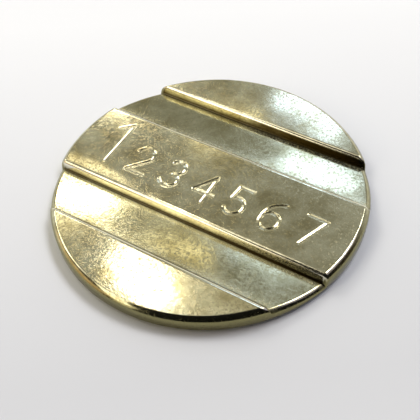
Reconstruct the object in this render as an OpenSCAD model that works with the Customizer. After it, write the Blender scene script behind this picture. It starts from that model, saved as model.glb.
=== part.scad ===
// Amusement token: one struck metal disc with a plain underside. Its upper face
// has three level lands with two straight grooves between them. Each groove is
// deepest along its far wall, and its floor climbs gently to the near one.
// Lengths are in millimetres. The grooves run along X, the underside lies on
// z = 0 and the disc's axis is the Z axis.

/* [Blank] */
// Diameter of the token
token_d = 25; // [20:0.5:40]
// Thickness from the underside to the lands
token_t = 1.6; // [1.4:0.1:3]
// Radius rolled on both edges of the rim
rim_r = 0.4; // [0.1:0.05:0.5]

/* [Grooves] */
// Width of the central land between its two upper corners
land_w = 7.2; // [5:0.1:9]
// Width of each groove at its mouth
groove_w = 4.3; // [3:0.1:5.5]
// Depth of the floor where it meets the far wall, on the +Y side
far_depth = 0.8; // [0.5:0.05:0.9]
// Depth of the floor where it meets the near wall, on the -Y side
near_depth = 0.4; // [0.3:0.05:0.5]
// Draft of the groove walls, in degrees from upright
wall_draft = 12; // [3:1:25]
// Radius along the upper corners of the lands
shoulder_r = 0.2; // [0.05:0.05:0.25]
// Radius where a groove wall meets the floor
foot_r = 0.15; // [0.05:0.05:0.2]

/* [Hidden] */

// Facets of the rim, of the rim's edge radius and along each corner arc
rim_facets = 180;
edge_facets = 32;
corner_steps = 6;
// How far a groove cutter runs past the rim and above the lands
overrun = 1;

token_r = token_d / 2;
// Height of the straight wall of the rim, between its two edge radii
wall_h = token_t - 2 * rim_r;

// Places of the two grooves' near corners across the disc
near_corners = [land_w / 2, -land_w / 2 - groove_w];
// How far the foot of each wall lies inside its upper corner
far_lean = far_depth * tan(wall_draft);
near_lean = near_depth * tan(wall_draft);
// Fall of the floor from the near wall to the far one, in degrees
floor_fall = atan((far_depth - near_depth) / (groove_w - far_lean - near_lean));

// Points of an arc, from one angle to another
function arc(centre, radius, from, to) =
    [for (i = [0:corner_steps])
        let (a = from + (to - from) * i / corner_steps)
            centre + radius * [cos(a), sin(a)]];

// Distance from a corner, along either of its sides, to where its radius starts
function corner_run(radius, turn) = radius * tan(turn / 2);

// The same points in the other order, and mirrored to face -x
function reversed(points) = [for (i = [len(points) - 1:-1:0]) points[i]];
function mirrored(points) = [for (p = points) [-p.x, p.y]];

// Shoulder of a land at the origin, from the flat at x < 0 to the drafted wall
function shoulder() =
    let (run = corner_run(shoulder_r, 90 - wall_draft))
        arc([-run, -shoulder_r], shoulder_r, 90, wall_draft);

// Foot of a wall of the given lean and depth below a corner at the origin, from
// the wall to a floor that climbs away from it by the given angle
function foot(lean, depth, climb) =
    let (run = corner_run(foot_r, 90 - wall_draft + climb),
         centre = [lean, -depth] + run * [cos(climb), sin(climb)]
             + foot_r * [-sin(climb), cos(climb)])
        arc(centre, foot_r, 180 + wall_draft, 270 + climb);

// Section of one groove, with the near corner of its mouth at the origin
module groove_section() {
    near_side = concat(shoulder(), foot(near_lean, near_depth, -floor_fall));
    far_side = concat(shoulder(), foot(far_lean, far_depth, floor_fall));
    far_wall = [for (p = reversed(mirrored(far_side))) p + [groove_w, 0]];
    mouth_start = near_side[0].x;
    mouth_end = far_wall[len(far_wall) - 1].x;
    polygon(concat(near_side, far_wall, [[mouth_end, overrun], [mouth_start, overrun]]));
}

// Disc standing on z = 0, with both edges of its rim rounded
module rounded_disc() {
    flat_r = token_r - rim_r;
    rotate_extrude($fn = rim_facets) {
        polygon([[0, 0], [flat_r, 0], [flat_r, rim_r], [token_r, rim_r],
            [token_r, rim_r + wall_h], [flat_r, rim_r + wall_h],
            [flat_r, token_t], [0, token_t]]);
        for (level = [rim_r, rim_r + wall_h])
            translate([flat_r, level]) circle(r = rim_r, $fn = edge_facets);
    }
}

module token() {
    cut_length = token_d + 2 * overrun;
    color("#9c9566")
        difference() {
            rounded_disc();
            for (corner = near_corners)
                translate([0, corner, token_t])
                    rotate([90, 0, 90])
                        linear_extrude(cut_length, center = true) groove_section();
        }
}

token();
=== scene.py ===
# Worn struck brass game token on a pale studio floor
import bpy
import bmesh
import math
import random
from mathutils import Matrix, Vector, kdtree, noise


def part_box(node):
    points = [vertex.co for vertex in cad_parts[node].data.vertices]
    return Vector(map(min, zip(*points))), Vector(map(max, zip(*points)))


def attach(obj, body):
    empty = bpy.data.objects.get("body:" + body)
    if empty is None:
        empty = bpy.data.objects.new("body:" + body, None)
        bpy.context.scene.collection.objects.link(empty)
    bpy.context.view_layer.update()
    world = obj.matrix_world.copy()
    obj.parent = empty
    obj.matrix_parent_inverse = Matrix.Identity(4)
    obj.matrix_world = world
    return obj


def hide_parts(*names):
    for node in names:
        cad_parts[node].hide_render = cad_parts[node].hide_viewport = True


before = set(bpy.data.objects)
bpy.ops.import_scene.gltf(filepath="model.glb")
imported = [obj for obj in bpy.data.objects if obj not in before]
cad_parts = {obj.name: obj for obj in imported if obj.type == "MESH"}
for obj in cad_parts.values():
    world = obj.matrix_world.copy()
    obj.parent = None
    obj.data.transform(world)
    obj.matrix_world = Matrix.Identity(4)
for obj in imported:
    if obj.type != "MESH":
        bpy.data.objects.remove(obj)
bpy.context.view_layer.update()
tokenLow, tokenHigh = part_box("token")
print("frame loaded")

mm = 0.001          # the mesh is shaped in millimetres and scaled at the end


def toLinear(hexColour):
    # an sRGB hex value as linear red, green and blue with a full alpha
    parts = [int(hexColour[i:i + 2], 16) / 255 for i in (1, 3, 5)]
    return [p / 12.92 if p <= 0.04045 else ((p + 0.055) / 1.055) ** 2.4 for p in parts] + [1.0]


def direction(azimuth, elevation):
    # unit vector at an anticlockwise angle from +X and a height above the floor, in degrees
    a, e = math.radians(azimuth), math.radians(elevation)
    return Vector((math.cos(e) * math.cos(a), math.cos(e) * math.sin(a), math.sin(e)))


def addNode(tree, kind, settings=None, links=None):
    # adds a node: settings are its properties or input values, links its wired inputs
    node = tree.nodes.new(kind)
    for name, value in (settings or {}).items():
        if isinstance(name, str) and name in node.bl_rna.properties:
            setattr(node, name, value)
        else:
            node.inputs[name].default_value = value
    for name, (other, output) in (links or {}).items():
        tree.links.new(other.outputs[output], node.inputs[name])
    return node


def mapRange(tree, source, low, high, start=0.0, end=1.0):
    # a wired value as a share of the way from low to high, or spread from start to end
    settings = {"From Min": low, "From Max": high, "To Min": start, "To Max": end}
    return addNode(tree, "ShaderNodeMapRange", settings, {"Value": source}), "Result"


def mixColour(tree, share, under, over):
    # blends two colours by a wired share, each a hex value or a wired output
    settings, links = {"data_type": "RGBA"}, {0: share}
    for slot, colour in ((6, under), (7, over)):
        if isinstance(colour, str):
            settings[slot] = toLinear(colour)
        else:
            links[slot] = colour
    return addNode(tree, "ShaderNodeMix", settings, links), 2


def clamp(value):
    return min(1.0, max(0.0, value))


# the struck disc: both grooves slope down towards the deep wall on their far side
token = dict(
    radius=(tokenHigh.x - tokenLow.x) / 2 / mm,
    thickness=(tokenHigh.z - tokenLow.z) / mm,
    rimRound=0.40, grooveRimRound=0.34, rimSteps=10, rimSegments=540,
    rimBulge=1.4,                   # 2 would be a round rim, less is nearer to a bevel
    landWidth=7.2, grooveWidth=4.3, nearDepth=0.4, farDepth=0.8, wallDraft=12.0,
    # how far in a land is worn over above a shallow wall, the tilt there and its corner's rounding
    nearWear=(0.24, 28.0, 0.10),
    farWear=(0.08, 6.0, 0.27),      # the same above a deep wall
    footRound=0.12, cornerSteps=6,
    grid=0.25, margin=0.05,         # mesh spacing on the struck face, and beside its rim and grooves
    undersideShares=(0.99, 0.6, 0.2),   # rings of the plain underside
    waviness=0.006, wavelength=3.5, seed=3.1,
)
# where the central land is worn down above the near groove's deep wall: how deep, how far in from
# the wall and into the groove, and where along the wall it starts and is full
dip = dict(depth=0.045, width=1.5, into=1.0, start=-2.0, full=-7.0)
# the row of plain numerals punched into the central land
marks = dict(
    numerals="1234567", firstX=-9.0, pitch=3.0, foot=-1.95, height=2.7, initialHeight=4.4,
    strokeHalf=0.13, depth=0.036, bowl=1.8, lip=0.005, reach=0.21,
    low=-2.25, high=3.0, end=10.75,     # the part of the land that holds the row
    cuts=5, spacing=0.02,               # finer mesh by the strokes, and steps along them
    leftShare=0.3,                      # how much of its height a numeral starts left of its place
    wobble=2.5, slip=0.07, seed=5,      # uneven hand punching: degrees, millimetres
)

nearCorners = [token["landWidth"] / 2, -token["landWidth"] / 2 - token["grooveWidth"]]
lean = math.tan(math.radians(token["wallDraft"]))
floorWidth = token["grooveWidth"] - (token["farDepth"] + token["nearDepth"]) * lean
floorFall = math.atan((token["farDepth"] - token["nearDepth"]) / floorWidth)
rimTurns = [math.pi / 2 * i / token["rimSteps"] for i in range(token["rimSteps"] + 1)]
rimPower = 2 / token["rimBulge"]


def wallSection(depth, end, wearWidth, wearTilt, shoulder):
    # (distance into the groove, drop below the land) from a land's worn edge to a floor of tilt end
    steps, foot = token["cornerSteps"], token["footRound"]
    first, last = math.radians(wearTilt), math.radians(90 - token["wallDraft"])
    wearDrop = wearWidth * math.tan(first) / 2
    arcRun = shoulder * (math.sin(last) - math.sin(first))
    arcDrop = wearDrop + shoulder * (math.cos(first) - math.cos(last))
    arcStart = arcDrop * lean - arcRun
    points = [(arcStart - wearWidth * (1 - i / steps), wearDrop * (i / steps) ** 2) for i in range(steps)]
    for i in range(steps + 1):
        a = first + (last - first) * i / steps
        points.append((arcStart + shoulder * (math.sin(a) - math.sin(first)),
                       wearDrop + shoulder * (math.cos(first) - math.cos(a))))
    run = foot * math.tan((last - end) / 2)
    footEnd, floorDrop = depth * lean + run * math.cos(end), depth + run * math.sin(end)
    for i in range(steps + 1):
        a = last + (end - last) * i / steps
        points.append((footEnd - foot * (math.sin(a) - math.sin(end)),
                       floorDrop - foot * (math.cos(end) - math.cos(a))))
    return points


nearSection = wallSection(token["nearDepth"], floorFall, *token["nearWear"])
farSection = wallSection(token["farDepth"], -floorFall, *token["farWear"])
grooveLine = nearSection + [(token["grooveWidth"] - into, drop) for into, drop in reversed(farSection)]


def nearestWall(y):
    # how far a place is past the nearest corner of a land, and that corner's section
    walls = []
    for corner in nearCorners:
        past, left = y - corner, corner + token["grooveWidth"] - y
        walls.append((past, nearSection) if past < left else (left, farSection))
    return max(walls, key=lambda wall: wall[0])


def grooveDrop(y):
    for corner in nearCorners:
        for (u0, d0), (u1, d1) in zip(grooveLine, grooveLine[1:]):
            if u0 < y - corner <= u1:
                return d0 + (d1 - d0) * (y - corner - u0) / (u1 - u0)
    return 0.0


def leftDip(x, y, drop):
    # how far handling has worn down the central land at the left end of the near groove
    share = clamp((dip["start"] - x) / (dip["start"] - dip["full"]))
    past = y - nearCorners[1] - token["grooveWidth"]
    reach = max(0.0, 1 - max(0.0, past) / dip["width"]) if past > -dip["into"] else 0.0
    return dip["depth"] * share * reach ** 2 * (1 - min(1.0, drop / token["farDepth"]))


def rimDrop(radius, r):
    # how far a rim worn over by r has dropped at a distance from the disc's axis
    out = clamp(1 - (token["radius"] - radius) / r)
    return r * (1 - (1 - out ** token["rimBulge"]) ** (1 / token["rimBulge"]))


def faceHeight(x, y):
    # height of the struck face against the top of the part
    drop = grooveDrop(y)
    share = min(1.0, drop / token["nearDepth"])
    rimRound = token["rimRound"] + (token["grooveRimRound"] - token["rimRound"]) * share
    wave = noise.noise(Vector((x, y, token["seed"])) / token["wavelength"]) * token["waviness"]
    worn = drop + leftDip(x, y, drop) + rimDrop(math.hypot(x, y), rimRound)
    return wave - worn - token["waviness"] - marks["lip"]


def bisectLines(bm, places, normal):
    # cuts the mesh along straight lines square to the normal
    geom = bm.verts[:] + bm.edges[:] + bm.faces[:]
    for place in places:
        geom = bmesh.ops.bisect_plane(bm, geom=geom, dist=1e-5, plane_co=normal * place,
                                      plane_no=normal)["geom"]


def blankFace():
    # the flat upper face, cut along its grooves and into a fine grid
    bm = bmesh.new()
    radius, r, margin = token["radius"], token["rimRound"], token["margin"]
    flat = radius - r
    rings = [flat - margin] + [flat + r * math.sin(a) ** rimPower for a in rimTurns]
    bmesh.ops.create_circle(bm, cap_ends=True, segments=token["rimSegments"], radius=rings[0])
    for inner, outer in zip(rings, rings[1:]):
        grown = bmesh.ops.extrude_edge_only(bm, edges=[e for e in bm.edges if e.is_boundary])["geom"]
        moved = [v for v in grown if isinstance(v, bmesh.types.BMVert)]
        bmesh.ops.scale(bm, vec=(outer / inner, outer / inner, 1), verts=moved)
    count = round(2 * radius / token["grid"])
    grid = [-radius + token["grid"] * i for i in range(1, count)]
    across = [grooveLine[0][0] - margin] + [u for u, drop in grooveLine] + [grooveLine[-1][0] + margin]
    bisectLines(bm, grid + [corner + u for corner in nearCorners for u in across], Vector((0, 1, 0)))
    bisectLines(bm, grid, Vector((1, 0, 0)))
    return bm


def arc(cx, cy, rx, ry, start, end, count=14):
    angles = [math.radians(start + (end - start) * i / count) for i in range(count + 1)]
    return [(cx + rx * math.cos(a), cy + ry * math.sin(a)) for a in angles]


# strokes of the numerals, as shares of their height
numeralShapes = {
    "1": [[(0.14, 0.80), (0.36, 1.0), (0.36, 0.0)]],
    "2": [arc(0.31, 0.71, 0.27, 0.29, 170, -38) + [(0.02, 0.0), (0.62, 0.0)]],
    "3": [arc(0.29, 0.75, 0.25, 0.25, 150, -90) + arc(0.29, 0.26, 0.29, 0.24, 90, -150)],
    "4": [[(0.46, 0.0), (0.46, 1.0), (0.0, 0.33), (0.64, 0.33)]],
    "5": [[(0.56, 1.0), (0.12, 1.0), (0.07, 0.55)] + arc(0.27, 0.31, 0.29, 0.31, 128, -145)],
    "6": [arc(0.62, 0.40, 0.60, 0.60, 100, 182), arc(0.30, 0.30, 0.28, 0.30, 0, 360, 20)],
    "7": [[(0.0, 1.0), (0.58, 1.0), (0.20, 0.0)]],
}


def numeralSpots():
    # closely spaced places along every stroke of the row, in millimetres
    dice = random.Random(marks["seed"])
    spots = []
    for i, name in enumerate(marks["numerals"]):
        height = marks["initialHeight"] if i == 0 else marks["height"]
        tilt = math.radians(dice.uniform(-1, 1) * marks["wobble"])
        slip = Vector([dice.uniform(-1, 1) * marks["slip"] for axis in range(2)])
        left = marks["firstX"] + marks["pitch"] * i - marks["leftShare"] * height
        corner = Vector((left, marks["foot"])) + slip
        for stroke in numeralShapes[name]:
            line = [corner + Matrix.Rotation(tilt, 2) @ (Vector(point) * height) for point in stroke]
            for a, b in zip(line, line[1:]):
                count = max(1, math.ceil((b - a).length / marks["spacing"]))
                spots += [a.lerp(b, step / count).to_3d() for step in range(count + 1)]
    return spots


def pressNumerals(bm):
    # refines the face round the strokes and sinks them as rounded grooves with a small lip
    places = numeralSpots()
    spots = kdtree.KDTree(len(places))
    for i, spot in enumerate(places):
        spots.insert(spot, i)
    spots.balance()
    low, high, end, half, reach = (marks[name] for name in ("low", "high", "end", "strokeHalf", "reach"))

    def away(place):
        return spots.find(Vector((place.x, place.y, 0)))[2]

    def isNear(place, margin):
        return low < place.y < high and abs(place.x) < end and away(place) < reach + margin

    near = [f for f in bm.faces if len(f.verts) == 4 and isNear(f.calc_center_median(), token["grid"])]
    bmesh.ops.subdivide_edges(bm, edges=list({e for f in near for e in f.edges}), cuts=marks["cuts"],
                              use_grid_fill=True)
    pressed = bm.verts.layers.float.new("pressed")
    for v in bm.verts:
        if isNear(v.co, 0):
            distance = away(v.co)
            if distance < half:
                v[pressed] = 1 - distance / half
                v.co.z -= marks["depth"] * (1 - (distance / half) ** marks["bowl"])
            else:
                v.co.z += marks["lip"] * math.sin(math.pi * (distance - half) / (reach - half))


def closeUnderside(bm):
    # the straight rim, its rounded lower edge and the plain underside, grown from the open border
    radius, r = token["radius"], token["rimRound"]
    rings = [(radius - r + r * math.cos(a) ** rimPower, r - r * math.sin(a) ** rimPower) for a in rimTurns]
    rings += [((radius - r) * share, 0.0) for share in token["undersideShares"]]
    loop = [e for e in bm.edges if e.is_boundary]
    for ring, height in rings:
        grown = bmesh.ops.extrude_edge_only(bm, edges=loop)["geom"]
        loop = [e for e in grown if isinstance(e, bmesh.types.BMEdge) and e.is_boundary]
        for v in {v for e in loop for v in e.verts}:
            v.co = Vector((*(v.co.xy.normalized() * ring), height))
    bmesh.ops.pointmerge(bm, verts=list({v for e in loop for v in e.verts}), merge_co=(0, 0, 0))


wearAndShadeNames = ("soilingAndShade", "lee", "rubbed", "hollow", "edge")
# where grime with painted shade and rubbing lie, in millimetres
wearAndShade = dict(
    low=0.30, high=0.82, left=-8.0, right=6.0,  # how high the grime and painted shade stand on a wall at two places along it
    fade=0.16, uneven=0.08, lump=1.2,           # its soft upper edge and how unevenly that runs
    leftShare=0.9, strokeShare=0.2,             # how dark it is at the left, and in the numerals
    onFloor=0.04, leeOnWall=0.03, leeOnFloor=0.40, rubbed=0.12,     # how far each mark fades out
    rimMargin=0.01,                             # left clean of these marks at the rim
)


def soilingShadeOnWall(place, height):
    # share of grime and painted shade on a wall at a height above its foot
    share = clamp((place.x - wearAndShade["left"]) / (wearAndShade["right"] - wearAndShade["left"]))
    lumps = wearAndShade["uneven"] * noise.noise(place / wearAndShade["lump"])
    top = wearAndShade["low"] + (wearAndShade["high"] - wearAndShade["low"]) * share + lumps
    most = wearAndShade["leftShare"] + (1 - wearAndShade["leftShare"]) * share
    return clamp(0.5 - (height - top) / wearAndShade["fade"]) * most


def markWearAndShade(bm):
    # stores on every place its share of grime and painted shade, how near a wall's foot, how rubbed,
    # how deep in a groove and how near the rim it is, for the finish
    pressed = bm.verts.layers.float["pressed"]
    soilingAndShade, lee, rubbed, hollow, edge = (bm.verts.layers.float.new(name) for name in wearAndShadeNames)
    radius, r = token["radius"], token["rimRound"]
    for v in bm.verts:
        v[edge] = clamp(1 - (radius - v.co.xy.length) / r)
        if v.co.z > r and v.co.xy.length < radius - wearAndShade["rimMargin"]:
            into, section = nearestWall(v.co.y)
            shoulder, (foot, bottom) = section[2 * token["cornerSteps"]][0], section[-1]
            drop = grooveDrop(v.co.y)
            v[hollow] = drop / token["farDepth"]
            if into > shoulder:
                past, short = max(0.0, into - foot), max(0.0, foot - into)
                # painted shade with grime: darkens each wall from its foot up, and the floor just beside
                # it
                v[soilingAndShade] = soilingShadeOnWall(v.co, bottom - drop) * math.exp(-past / wearAndShade["onFloor"])
                v[lee] = math.exp(-short / wearAndShade["leeOnWall"] - past / wearAndShade["leeOnFloor"])
            else:
                v[rubbed] = math.exp((into - shoulder) / wearAndShade["rubbed"])
            # the numerals' strokes get a little of the same painted shade with grime
            v[soilingAndShade] = max(v[soilingAndShade], wearAndShade["strokeShare"] * v[pressed])


def buildToken():
    bm = blankFace()
    pressNumerals(bm)
    for v in bm.verts:
        v.co.z += token["thickness"] + faceHeight(v.co.x, v.co.y)
    print("upper face struck")
    closeUnderside(bm)
    markWearAndShade(bm)
    for f in bm.faces:
        f.smooth = True
    bmesh.ops.recalc_face_normals(bm, faces=bm.faces[:])
    print("open edges", sum(1 for e in bm.edges if e.is_boundary), "faces", len(bm.faces))
    bmesh.ops.scale(bm, vec=(mm, mm, mm), verts=bm.verts)
    mesh = bpy.data.meshes.new("struckToken")
    bm.to_mesh(mesh)
    bm.free()
    piece = bpy.data.objects.new("struckToken", mesh)
    bpy.context.scene.collection.objects.link(piece)
    return piece


def wornNickelBrass():
    # olive gold, a mirror broken up by matt specks, brown in the corners from grime and painted shade,
    # brighter on rubbed edges, and a darker rim that is partly painted shade
    look = dict(
        # the near-black brown is painted shade with grime, and the rim colour is partly painted shade
        metal="#dcd9ba", tarnish="#a8a07c", stain="#8f8358", hollow="#8a875c", soilingShadeColour="#2c220b",
        rubbed="#f2eeda", rim="#88835a",
        cloudSize=2.6, blotchSize=0.45, speckSize=0.22, grainSize=0.24,
        cloudRange=(0.38, 0.66), blotchRange=(0.50, 0.70), speckRange=(0.47, 0.63),
        blotchShare=0.38, speckShare=0.50, hollowShare=0.40,
        polished=0.065, clouded=0.085, speckRough=0.14, leeRough=0.24, rimRough=0.10,
        grainDepth=0.0014, mattDepth=0.0038,    # pit depths in mm, in general and where it is matt
        mattCentre=(-3.5, -8.0, 1.8), mattRadius=8.5, mattCore=2.55,    # it is mattest inside the core
    )
    material = bpy.data.materials.new("wornNickelBrass")
    material.use_nodes = True
    tree = material.node_tree
    tree.nodes.clear()
    place = addNode(tree, "ShaderNodeTexCoord")
    inMm = addNode(tree, "ShaderNodeMapping", {"Scale": (1 / mm,) * 3}, {"Vector": (place, "Object")})

    def clouds(size, detail, roughness):
        settings = {"Scale": 1 / look[size], "Detail": detail, "Roughness": roughness}
        return addNode(tree, "ShaderNodeTexNoise", settings, {"Vector": (inMm, "Vector")}), "Fac"

    def times(source, factor, more=None):
        links = {0: source}
        if more:
            links[2] = more
        settings = {"operation": "MULTIPLY_ADD", 1: factor, 2: 0.0}
        return addNode(tree, "ShaderNodeMath", settings, links), "Value"

    cloud = mapRange(tree, clouds("cloudSize", 5.0, 0.65), *look["cloudRange"])
    blotch = mapRange(tree, clouds("blotchSize", 4.0, 0.7), *look["blotchRange"], 0.0, look["blotchShare"])
    speck = mapRange(tree, clouds("speckSize", 4.0, 0.75), *look["speckRange"])
    grain = clouds("grainSize", 3.0, 0.6)
    soilingAndShade, lee, rubbed, hollow, edge = (
        (addNode(tree, "ShaderNodeAttribute", {"attribute_name": name}), "Fac") for name in wearAndShadeNames)

    colour = mixColour(tree, cloud, look["metal"], look["tarnish"])
    colour = mixColour(tree, blotch, colour, look["tarnish"])
    colour = mixColour(tree, times(speck, look["speckShare"]), colour, look["stain"])
    colour = mixColour(tree, times(hollow, look["hollowShare"]), colour, look["hollow"])
    # painted shade with grime: near-black brown at the walls' feet and in the numerals' strokes
    colour = mixColour(tree, soilingAndShade, colour, look["soilingShadeColour"])
    colour = mixColour(tree, rubbed, colour, look["rubbed"])
    # a darker, duller rim colour that is partly the edge's own tone and partly painted shade
    colour = mixColour(tree, edge, colour, look["rim"])

    rough = mapRange(tree, cloud, 0.0, 1.0, look["polished"], look["clouded"])
    rough = times(speck, look["speckRough"], rough)
    rough = times(lee, look["leeRough"], rough)
    rough = times(edge, look["rimRough"], rough)

    offset = addNode(tree, "ShaderNodeVectorMath", {"operation": "DISTANCE", 1: look["mattCentre"]},
                     {0: (inMm, "Vector")})
    depth = mapRange(tree, (offset, "Value"), look["mattRadius"], look["mattCore"],
                     look["grainDepth"] * mm, look["mattDepth"] * mm)
    bump = addNode(tree, "ShaderNodeBump", {"Strength": 1.0}, {"Height": grain, "Distance": depth})
    shader = addNode(tree, "ShaderNodeBsdfPrincipled", {"Metallic": 1.0},
                     {"Base Color": colour, "Roughness": rough, "Normal": (bump, "Normal")})
    addNode(tree, "ShaderNodeOutputMaterial", None, {"Surface": (shader, "BSDF")})
    return material


piece = buildToken()
piece.data.materials.append(wornNickelBrass())
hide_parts("token")
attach(piece, "root")
print("token built:", len(piece.data.polygons), "faces")

# the floor, with painted shade that makes it darker towards the camera and paler away from it: its size in
# metres, the places of its tones in millimetres
floor = dict(size=6.0, near="#dbdddf", far="#fcfefe", nearAt=-16.0, farAt=24.0, viewAzimuth=125.0)


def buildFloor():
    bm = bmesh.new()
    bmesh.ops.create_grid(bm, x_segments=1, y_segments=1, size=floor["size"] / 2)
    mesh = bpy.data.meshes.new("floor")
    bm.to_mesh(mesh)
    bm.free()
    ground = bpy.data.objects.new("floor", mesh)
    bpy.context.scene.collection.objects.link(ground)
    material = bpy.data.materials.new("paleCard")
    material.use_nodes = True
    tree = material.node_tree
    tree.nodes.clear()
    place = addNode(tree, "ShaderNodeTexCoord")
    turn = (0, 0, -math.radians(floor["viewAzimuth"]))
    turned = addNode(tree, "ShaderNodeMapping", {"Rotation": turn}, {"Vector": (place, "Object")})
    split = addNode(tree, "ShaderNodeSeparateXYZ", None, {"Vector": (turned, "Vector")})
    away = mapRange(tree, (split, "X"), floor["nearAt"] * mm, floor["farAt"] * mm)
    # painted shade: the colour runs from the darker near tone to the paler far tone
    colour = mixColour(tree, away, floor["near"], floor["far"])
    shader = addNode(tree, "ShaderNodeBsdfDiffuse", None, {"Color": colour})
    addNode(tree, "ShaderNodeOutputMaterial", None, {"Surface": (shader, "BSDF")})
    mesh.materials.append(material)


buildFloor()

# soft lamps: the direction they stand in and their size and lean, in degrees, and their brightness
lamps = {
    "windowLow": dict(azimuth=132.0, elevation=38.95, width=5.6, height=3.1,
                      lean=10, radiance=15.0, colour="#fff6e6"),
    "windowHigh": dict(azimuth=134.8, elevation=54.9, width=3.0, height=4.4,
                       lean=20, radiance=18.0, colour="#fff6e6"),
    "windowRight": dict(azimuth=110.6, elevation=39.4, width=6.0, height=10.0,
                        lean=-33, radiance=5.0, colour="#bfd6ff"),
    "glow": dict(azimuth=122.6, elevation=44.2, width=5.6, height=2.4,
                 lean=0, radiance=1.9, colour="#fff0c4"),
    "glowHigh": dict(azimuth=128.0, elevation=56.5, width=10.0, height=6.0,
                     lean=0, radiance=0.3, colour="#fff0c4"),
    "shelf": dict(azimuth=141.0, elevation=47.6, width=5, height=3.6,
                  lean=0, radiance=1.9, colour="#fff0cc"),
    "skylight": dict(azimuth=172, elevation=69, width=30, height=15,
                     lean=0, radiance=1.7, colour="#fffcf6"),
    "cardLeft": dict(azimuth=-129.4, elevation=42.9, width=14, height=46,
                     lean=35, radiance=2.9, colour="#fff5e0"),
    "sideLeft": dict(azimuth=-147, elevation=14, width=46, height=26,
                     lean=0, radiance=0.9, colour="#ffdcae"),
    "cardLow": dict(azimuth=-112, elevation=18, width=12, height=26,
                    lean=0, radiance=1.6, colour="#fff5e0"),
    "keyLeft": dict(azimuth=173, elevation=45, width=28, height=16,
                    lean=0, radiance=4.8, colour="#fffcf4"),
    "keyRight": dict(azimuth=70, elevation=58, width=30, height=16,
                     lean=0, radiance=10.4, colour="#f9f9ff"),
    "sideRight": dict(azimuth=28, elevation=46, width=36, height=26,
                      lean=0, radiance=1.0, colour="#dcd6ff"),
}
lampDistance = 2.0      # metres


def addLamp(name, lamp):
    data = bpy.data.lights.new(name, "AREA")
    data.shape = "RECTANGLE"
    data.size = 2 * lampDistance * math.tan(math.radians(lamp["width"] / 2))
    data.size_y = 2 * lampDistance * math.tan(math.radians(lamp["height"] / 2))
    data.energy = lamp["radiance"] * math.pi * data.size * data.size_y
    data.color = toLinear(lamp["colour"])[:3]
    box = bpy.data.objects.new(name, data)
    towards = direction(lamp["azimuth"], lamp["elevation"])
    box.location = towards * lampDistance
    box.rotation_mode = "QUATERNION"
    lean = Matrix.Rotation(math.radians(lamp["lean"]), 3, "Z").to_quaternion()
    box.rotation_quaternion = (-towards).to_track_quat("-Z", "Y") @ lean
    bpy.context.scene.collection.objects.link(box)


for name, lamp in lamps.items():
    addLamp(name, lamp)

# the studio round it: pale low down behind the token, grey above, brown to the front and a
# dark opening where the camera stands
studio = dict(
    back=125.0, horizon="#ffffff", sky="#9a9a94", upper="#5c5a54", front="#423a2b", dark="#171818",
    skyRange=(0.15, 0.48), upperRange=(0.86, 0.97),     # heights, as the sine of the elevation
    backRange=(0.0, 0.5), openingRange=(0.30, 0.60),    # cosines of the angle from each direction
    opening=(-45.0, 28.0), strength=1.18,
)


def buildWorld():
    world = bpy.data.worlds.new("studio")
    bpy.context.scene.world = world
    world.use_nodes = True
    tree = world.node_tree
    tree.nodes.clear()
    place = addNode(tree, "ShaderNodeTexCoord")
    split = addNode(tree, "ShaderNodeSeparateXYZ", None, {"Vector": (place, "Generated")})

    def towards(azimuth, elevation):
        settings = {"operation": "DOT_PRODUCT", 1: direction(azimuth, elevation)}
        return addNode(tree, "ShaderNodeVectorMath", settings, {0: (place, "Generated")}), "Value"

    low = mapRange(tree, (split, "Z"), *studio["skyRange"])
    high = mapRange(tree, (split, "Z"), *studio["upperRange"])
    back = mapRange(tree, towards(studio["back"], 0), *studio["backRange"])
    opening = mapRange(tree, towards(*studio["opening"]), *studio["openingRange"])
    colour = mixColour(tree, low, studio["horizon"], studio["sky"])
    colour = mixColour(tree, high, colour, studio["upper"])
    colour = mixColour(tree, back, studio["front"], colour)
    colour = mixColour(tree, opening, colour, studio["dark"])
    light = addNode(tree, "ShaderNodeBackground", {"Strength": studio["strength"]}, {"Color": colour})
    addNode(tree, "ShaderNodeOutputWorld", None, {"Surface": (light, "Background")})


buildWorld()

# the photograph's view: the eye's direction and the tilt in degrees, its distance and the point
# looked at in millimetres, the picture in pixels, and the nearest and farthest sight in metres
view = dict(azimuth=-54.89, elevation=50.21, tilt=-5.07, distance=58.80, target=(0.764, -1.279, 0.0),
            focalPixels=750.1, picture=420, sensor=36.0, nearest=0.002, farthest=20.0)


def buildCamera():
    back = direction(view["azimuth"], view["elevation"])
    right = (-back).cross(Vector((0, 0, 1))).normalized()
    up = right.cross(-back)
    tilt = math.radians(view["tilt"])
    acrossFrame = right * math.cos(tilt) + up * math.sin(tilt)
    upFrame = up * math.cos(tilt) - right * math.sin(tilt)
    data = bpy.data.cameras.new("camera")
    data.sensor_width = view["sensor"]
    data.lens = view["focalPixels"] * view["sensor"] / view["picture"]
    data.clip_start, data.clip_end = view["nearest"], view["farthest"]
    camera = bpy.data.objects.new("camera", data)
    turned = Matrix((acrossFrame, upFrame, back)).transposed().to_4x4()
    eye = (Vector(view["target"]) + back * view["distance"]) * mm
    camera.matrix_world = Matrix.Translation(eye) @ turned
    bpy.context.scene.collection.objects.link(camera)
    bpy.context.scene.camera = camera


buildCamera()
bpy.context.scene.view_settings.view_transform = "Standard"
